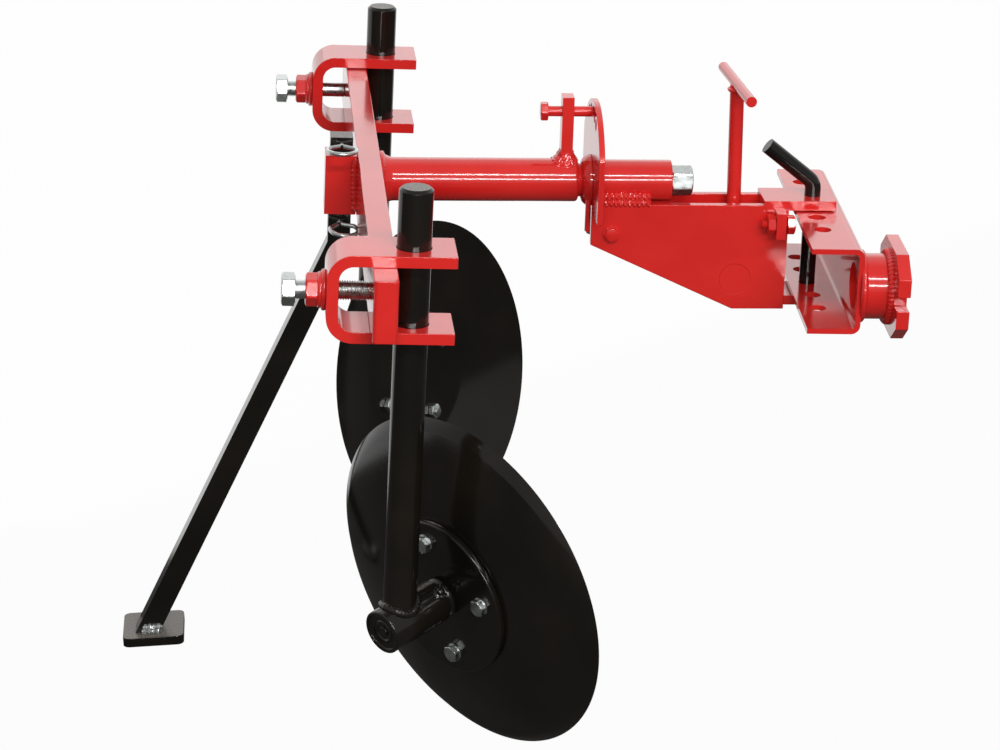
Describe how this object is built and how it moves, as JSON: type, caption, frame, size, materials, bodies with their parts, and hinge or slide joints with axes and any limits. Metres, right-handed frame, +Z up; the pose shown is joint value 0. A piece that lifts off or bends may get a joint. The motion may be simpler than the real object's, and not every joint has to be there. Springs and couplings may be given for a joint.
{
  "type": "disc ridger",
  "caption": "Disc ridger for a two-wheel tractor: a crossbar with clamped shanks and angled dished discs, a boom with an adjustable hitch head, and a parking stand.",
  "frame": {"origin": "middle of the ridger's outline on the floor, under the boom", "axes": "+X forward to the tractor, +Y left, +Z up"},
  "size_m": [0.8867, 0.925, 0.6463],
  "materials": {
    "red_paint": "gloss",
    "black_paint": "gloss",
    "zinc": "satin"
  },
  "bodies": {
    "frame": {"crossbar": "red_paint", "boom_tube": "red_paint", "boom_arm": "red_paint", "lock_bolt": "red_paint", "boom_spindle": "red_paint", "spindle_nut": "zinc", "stand_sleeve": "red_paint", "stand_bar": "black_paint", "stand_foot": "black_paint", "upper_lynch_pin": "zinc", "lower_lynch_pin": "zinc"},
    "head": {"quadrant_plate": "red_paint", "bearing_sleeve": "red_paint", "right_side_plate": "red_paint", "left_side_plate": "red_paint", "trunnion": "red_paint", "cross_bolt": "red_paint", "upper_hitch_plate": "red_paint", "lower_hitch_plate": "red_paint", "t_screw": "red_paint", "right_stop_lug": "red_paint", "left_stop_lug": "red_paint", "right_stop_bolt": "red_paint", "left_stop_bolt": "red_paint", "king_pin": "black_paint"},
    "hitch": {"channel": "red_paint", "coupling_tube": "red_paint", "coupling_flange": "red_paint"},
    "right_carrier": {"right_clamp": "red_paint", "right_clamp_nut": "red_paint", "right_clamp_screw": "zinc"},
    "right_leg": {"right_shank": "black_paint", "right_hub_housing": "black_paint"},
    "right_wheel": {"right_hub_axle": "black_paint", "right_disc": "black_paint"},
    "left_carrier": {"left_clamp": "red_paint", "left_clamp_nut": "red_paint", "left_clamp_screw": "zinc"},
    "left_leg": {"left_shank": "black_paint", "left_hub_housing": "black_paint"},
    "left_wheel": {"left_hub_axle": "black_paint", "left_disc": "black_paint"}
  },
  "joints": [
    {"name": "boom_tilt", "type": "hinge", "parent": "frame", "child": "head", "pos_m": [0.11382, 0, 0.52549], "axis": [0.9981, 0, -0.0619], "range_deg": [-20, 20]},
    {"name": "hitch_swing", "type": "hinge", "parent": "head", "child": "hitch", "pos_m": [0.36042, 0, 0.43054], "axis": [0.0619, 0, 0.9981], "range_deg": [-2, 2]},
    {"name": "right_clamp_slide", "type": "slide", "parent": "frame", "child": "right_carrier", "axis": [0, -1, 0], "range_m": [-0.1, 0.025]},
    {"name": "right_shank_turn", "type": "hinge", "parent": "right_carrier", "child": "right_leg", "pos_m": [-0.1048, -0.38, 0.5385], "axis": [0.0802, 0, 0.9968], "range_deg": [-25, 25]},
    {"name": "right_disc_spin", "type": "hinge", "parent": "right_leg", "child": "right_wheel", "pos_m": [-0.13407, -0.38, 0.17468], "axis": [0.7624, 0.6332, 0.1335], "continuous": true},
    {"name": "left_clamp_slide", "type": "slide", "parent": "frame", "child": "left_carrier", "axis": [0, 1, 0], "range_m": [-0.1, 0.025]},
    {"name": "left_shank_turn", "type": "hinge", "parent": "left_carrier", "child": "left_leg", "pos_m": [-0.1048, 0.38, 0.5385], "axis": [0.0802, 0, 0.9968], "range_deg": [-25, 25]},
    {"name": "left_disc_spin", "type": "hinge", "parent": "left_leg", "child": "left_wheel", "pos_m": [-0.13407, 0.38, 0.17468], "axis": [0.7624, -0.6332, 0.1335], "continuous": true}
  ]
}
